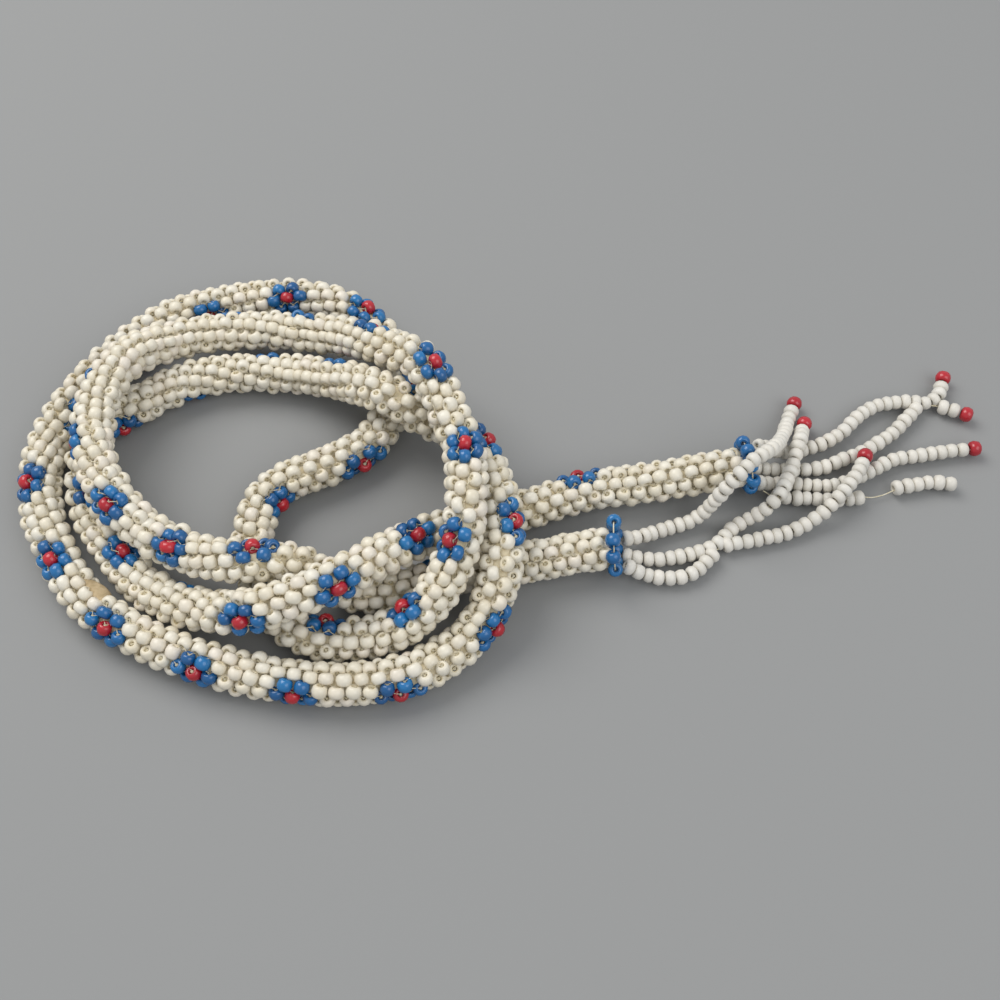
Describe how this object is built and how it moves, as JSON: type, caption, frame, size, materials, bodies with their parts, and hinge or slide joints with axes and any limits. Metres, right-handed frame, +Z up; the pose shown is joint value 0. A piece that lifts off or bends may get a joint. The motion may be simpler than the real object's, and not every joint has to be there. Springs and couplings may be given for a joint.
{
  "type": "beaded rope belt",
  "caption": "Long woven rope of small white glass beads with blue and red flowers, lying in loops, with a bead fringe at each end.",
  "frame": {"origin": "middle of the belt's footprint on the surface it lies on", "axes": "+X to the right of the picture, towards the fringed ends, +Y away from the viewer, +Z up"},
  "size_m": [0.1934, 0.0992, 0.0236],
  "materials": {
    "ivory_beads": "opaque ivory seed beads, satin",
    "fringe_beads": "opaque ivory seed beads, satin",
    "blue_beads": "opaque bright blue glass, glossy",
    "red_beads": "opaque red glass, glossy",
    "thread": "waxed cotton thread, aged cream",
    "core_cord": "tan twisted cotton core"
  },
  "bodies": {
    "root": {"beaded_rope_a": "ivory_beads", "beaded_rope_b": "ivory_beads", "end_collar_a": "blue_beads", "end_collar_b": "blue_beads", "fringe_a_net": "fringe_beads", "fringe_a_strand": "fringe_beads", "fringe_a_frayed": "fringe_beads", "fringe_b_strand": "fringe_beads", "fringe_b_net": "fringe_beads", "tip_bead_a_1": "red_beads", "tip_bead_a_2": "red_beads", "tip_bead_a_3": "red_beads", "tip_bead_b_1": "red_beads", "tip_bead_b_2": "red_beads", "tip_bead_b_3": "red_beads"}
  },
  "joints": []
}
